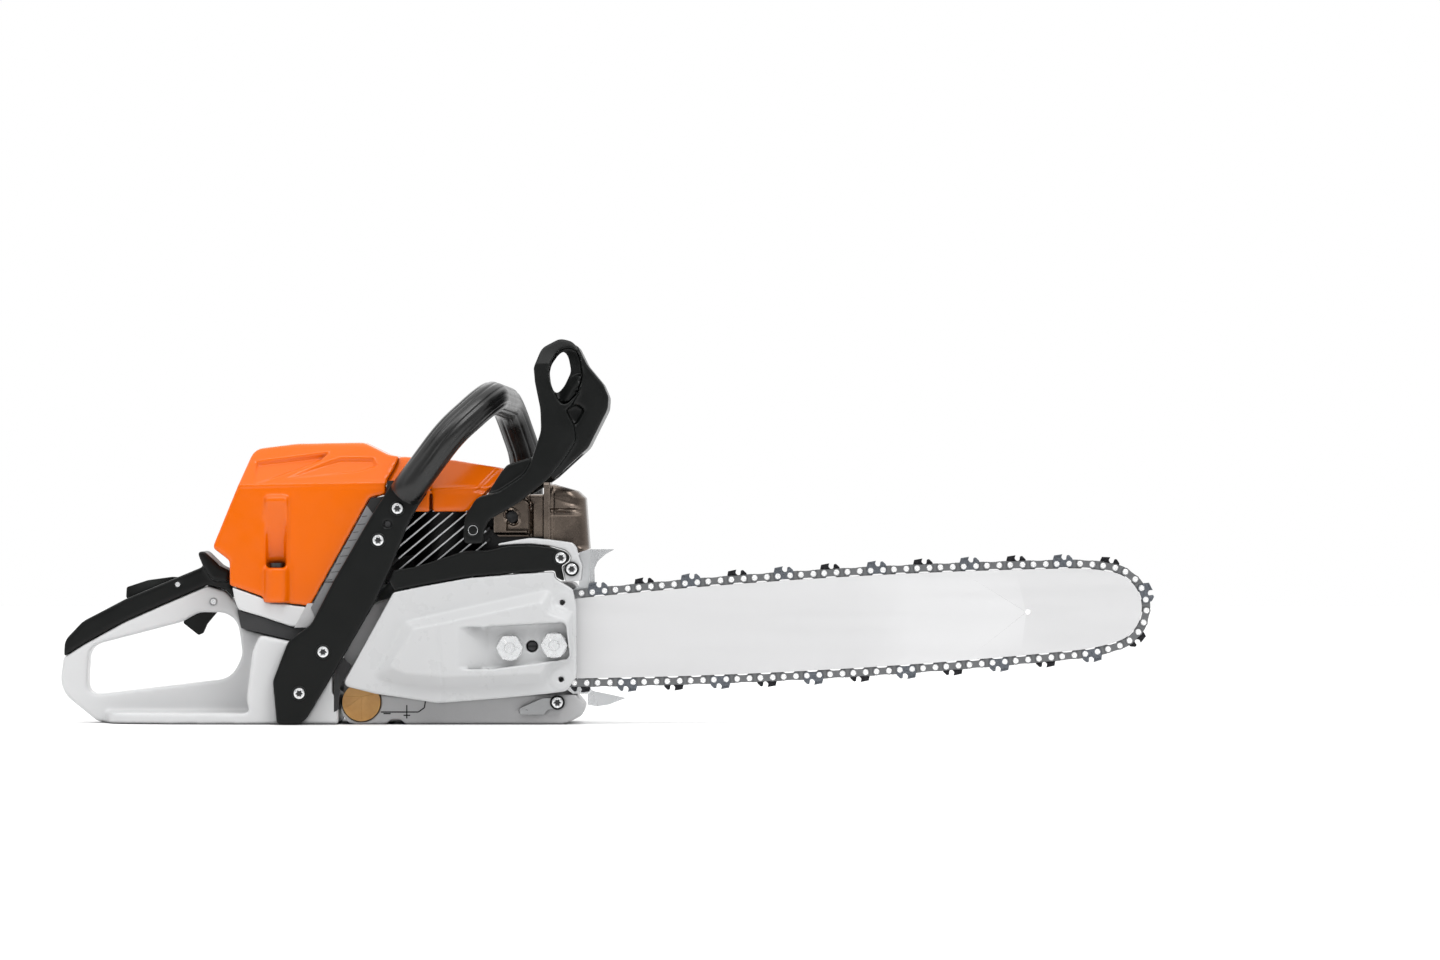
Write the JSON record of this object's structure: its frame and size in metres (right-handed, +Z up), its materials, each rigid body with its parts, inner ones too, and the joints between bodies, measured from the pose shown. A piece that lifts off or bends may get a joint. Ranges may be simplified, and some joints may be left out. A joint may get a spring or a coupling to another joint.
{
  "type": "chainsaw",
  "caption": "Petrol chainsaw with a long guide bar and saw chain, wrap-around front handle, hinged front hand guard, rear handle with throttle trigger and moulded engine covers.",
  "frame": {"origin": "on the ground plane, straight below the crank axis and on the engine's mid plane", "axes": "+Z up, +X along the guide bar to its nose, +Y towards the starter side, so the chain drive is on -Y"},
  "size_m": [0.8994, 0.21, 0.3153],
  "materials": {
    "grey_casting": "powder-coated magnesium casting, fine texture, semi-matte",
    "white_casting": "light grey-white moulded nylon, semi-gloss with fine grain",
    "white_painted": "light grey-white painted magnesium, semi-gloss",
    "orange_plastic": "glossy orange moulded plastic",
    "black_plastic": "black moulded nylon, fine spark-eroded texture",
    "black_grip": "soft black grip coating with a fine ribbed texture",
    "black_rubber": "matte black elastomer",
    "amber_rubber": "translucent amber polyurethane",
    "bar_steel": "ground and lacquered bar steel, light grey, matte",
    "chain_steel": "oiled blued chain steel",
    "rivet_steel": "polished hard chromed steel",
    "zinc_steel": "bright zinc-plated steel",
    "dark_steel": "black oxide steel",
    "machined_steel": "turned and ground steel",
    "muffler_steel": "heat-tinted stainless sheet, dark bronze",
    "cast_aluminium": "die-cast aluminium",
    "black_fins": "black coated cylinder with bright machined fin edges",
    "filter_felt": "pleated filter fleece"
  },
  "bodies": {
    "root": {"crankcase_right": "grey_casting", "crankcase_left": "grey_casting", "main_bearings": "machined_steel", "engine_pins": "machined_steel", "connecting_rod": "machined_steel", "piston": "cast_aluminium", "cylinder": "black_fins", "spark_plug": "zinc_steel", "muffler_rear_shell": "muffler_steel", "muffler_front_shell": "muffler_steel", "filter_cover": "orange_plastic", "cover_screw": "dark_steel", "cylinder_shroud": "orange_plastic", "carburettor": "cast_aluminium", "air_filter": "filter_felt", "filter_base": "white_casting", "side_panel": "grey_casting", "starter_housing": "white_casting", "rewind_spring": "dark_steel", "ignition_module": "black_plastic", "oil_pump": "cast_aluminium", "brake_band": "dark_steel", "sprocket_cover": "white_painted", "bar_studs": "zinc_steel", "bar_nuts": "zinc_steel", "brake_cover": "black_plastic", "brake_arch": "white_painted", "bumper_spike": "zinc_steel", "chain_catcher": "cast_aluminium", "tank_handle": "white_casting", "handle_grip": "black_plastic", "pivot_pins": "zinc_steel", "front_handle": "black_grip", "handle_leg": "black_plastic", "rubber_mounts": "black_rubber", "frame_springs": "machined_steel", "amber_plug": "amber_rubber", "tank_filters": "filter_felt", "torx_screws": "zinc_steel"},
    "crank": {"crankshaft": "machined_steel", "flywheel": "cast_aluminium", "clutch": "machined_steel"},
    "drum": {"clutch_drum": "machined_steel", "rim_sprocket": "machined_steel"},
    "bar": {"guide_bar": "bar_steel", "chain_tie_straps": "chain_steel", "chain_drive_links": "chain_steel", "chain_cutters": "chain_steel", "chain_rivets": "rivet_steel", "tension_slider": "zinc_steel"},
    "nose": {"nose_sprocket": "machined_steel"},
    "tensioner": {"tension_screw": "zinc_steel"},
    "guard": {"hand_guard": "black_plastic"},
    "trigger_lever": {"trigger": "black_plastic"},
    "lock_lever": {"throttle_lock": "black_plastic"},
    "control": {"control_lever": "black_plastic"},
    "pulley": {"starter_pulley": "black_plastic"},
    "grip": {"starter_grip": "black_plastic"},
    "fuel_lid": {"fuel_cap": "black_plastic"},
    "oil_lid": {"oil_cap": "black_plastic"}
  },
  "joints": [
    {"name": "crank_spin", "type": "hinge", "parent": "root", "child": "crank", "pos_m": [0, 0, 0.0638], "axis": [0, 1, 0], "continuous": true},
    {"name": "drum_spin", "type": "hinge", "parent": "root", "child": "drum", "pos_m": [0, 0, 0.0638], "axis": [0, 1, 0], "continuous": true},
    {"name": "bar_slide", "type": "slide", "parent": "root", "child": "bar", "axis": [0.9983, 0, 0.0586], "range_m": [-0.006, 0]},
    {"name": "nose_spin", "type": "hinge", "parent": "bar", "child": "nose", "pos_m": [0.54107, -0.052, 0.09557], "axis": [0, 1, 0], "continuous": true},
    {"name": "tensioner_turn", "type": "hinge", "parent": "root", "child": "tensioner", "pos_m": [0.0711, -0.052, 0.064], "axis": [0, 1, 0], "range_deg": [-1080, 0]},
    {"name": "guard_swing", "type": "hinge", "parent": "root", "child": "guard", "pos_m": [0.023, 0, 0.159], "axis": [0, 1, 0], "range_deg": [0, 14]},
    {"name": "trigger_pull", "type": "hinge", "parent": "root", "child": "trigger_lever", "pos_m": [-0.193, 0.005, 0.0998], "axis": [0, 1, 0], "range_deg": [0, 18], "stiffness_Nm_per_rad": 0.5, "springref_deg": -5.73},
    {"name": "lock_press", "type": "hinge", "parent": "root", "child": "lock_lever", "pos_m": [-0.2225, 0.005, 0.114], "axis": [0, 1, 0], "range_deg": [-9, 0], "stiffness_Nm_per_rad": 0.5, "springref_deg": 11.46},
    {"name": "control_tilt", "type": "hinge", "parent": "root", "child": "control", "pos_m": [-0.193, 0.042, 0.1145], "axis": [0, 1, 0], "range_deg": [-10, 20]},
    {"name": "pulley_spin", "type": "hinge", "parent": "root", "child": "pulley", "pos_m": [0, 0, 0.0638], "axis": [0, 1, 0], "range_deg": [0, 140]},
    {"name": "grip_pull", "type": "slide", "parent": "root", "child": "grip", "axis": [0, 0, 1], "range_m": [0, 0.06]},
    {"name": "fuel_cap_turn", "type": "hinge", "parent": "root", "child": "fuel_lid", "pos_m": [-0.134, 0.06, 0.044], "axis": [0, 1, 0], "range_deg": [0, 90]},
    {"name": "oil_cap_turn", "type": "hinge", "parent": "root", "child": "oil_lid", "pos_m": [0.076, 0.037, 0.012], "axis": [0, 1, 0], "range_deg": [0, 90]}
  ],
  "couplings": [
    {"joint": "nose_spin", "follows": "drum_spin", "ratio": 0.63636},
    {"joint": "tensioner_turn", "follows": "bar_slide", "rad_per_m": 3141.6},
    {"joint": "pulley_spin", "follows": "grip_pull", "rad_per_m": 38}
  ]
}
